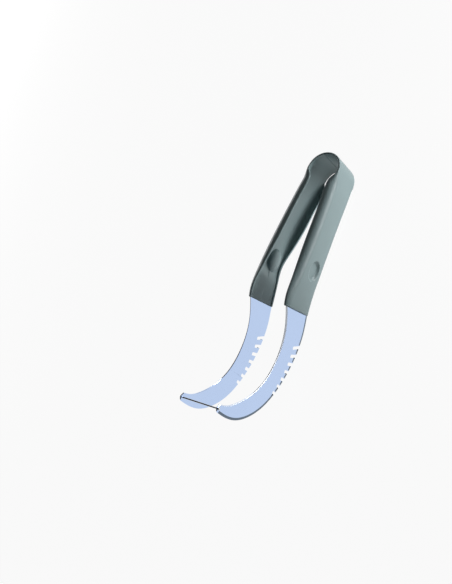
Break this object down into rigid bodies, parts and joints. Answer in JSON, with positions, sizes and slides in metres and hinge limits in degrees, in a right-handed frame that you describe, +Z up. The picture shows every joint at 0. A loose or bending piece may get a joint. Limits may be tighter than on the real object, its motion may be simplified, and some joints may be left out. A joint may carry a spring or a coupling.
{
  "type": "watermelon slicer",
  "caption": "Hand-held melon slicer: a sprung U-shaped plastic handle holds curved steel blades joined at their tips by a rod; it cuts a slice, then grips it like tongs.",
  "frame": {"origin": "centre of the tool's outline on the table that it lies on, at table level", "axes": "lying on its back: +Z up from the table, +Y along the tool from the blade tips to the crown of the handle, X across from leg to leg"},
  "size_m": [0.0516, 0.276, 0.0891],
  "materials": {
    "handle_plastic": "fine satin moulding, slate green",
    "blade_steel": "mirror-polished stainless plate with a ground edge",
    "rod_steel": "drawn stainless rod"
  },
  "bodies": {
    "handle_arch": {"handle_arch": "handle_plastic"},
    "front_leg": {"front_handle_leg": "handle_plastic", "front_blade_tang": "blade_steel"},
    "rear_leg": {"rear_handle_leg": "handle_plastic", "rear_blade_tang": "blade_steel"},
    "front_blade": {"front_blade": "blade_steel"},
    "rear_blade": {"rear_blade": "blade_steel"},
    "tip_rod": {"tip_rod": "rod_steel"}
  },
  "joints": [
    {"name": "front_leg_flex", "type": "hinge", "parent": "handle_arch", "child": "front_leg", "pos_m": [0.0153, 0.11875, 0.01875], "axis": [0, -0.0971, -0.9953], "range_deg": [0, 4], "stiffness_Nm_per_rad": 2.5},
    {"name": "rear_leg_flex", "type": "hinge", "parent": "handle_arch", "child": "rear_leg", "pos_m": [-0.0153, 0.11875, 0.01875], "axis": [0, 0.0971, 0.9953], "range_deg": [0, 4.1], "stiffness_Nm_per_rad": 2.5},
    {"name": "front_blade_flex", "type": "hinge", "parent": "front_leg", "child": "front_blade", "pos_m": [0.0219, -0.02246, 0.02549], "axis": [0, 0.0971, 0.9953], "range_deg": [0, 9], "stiffness_Nm_per_rad": 3},
    {"name": "rear_blade_flex", "type": "hinge", "parent": "rear_leg", "child": "rear_blade", "pos_m": [-0.0219, -0.02246, 0.02549], "axis": [0, -0.0971, -0.9953], "range_deg": [0, 9], "stiffness_Nm_per_rad": 3},
    {"name": "rod_pivot", "type": "hinge", "parent": "front_blade", "child": "tip_rod", "pos_m": [0.0213, -0.13344, 0.08675], "axis": [0, -0.0971, -0.9953], "range_deg": [0, 5]}
  ],
  "couplings": [
    {"joint": "rear_leg_flex", "follows": "front_leg_flex", "ratio": 1},
    {"joint": "front_blade_flex", "follows": "front_leg_flex", "ratio": 2.2152},
    {"joint": "rear_blade_flex", "follows": "front_leg_flex", "ratio": 2.2152},
    {"joint": "rod_pivot", "follows": "front_leg_flex", "ratio": 1.2152}
  ]
}
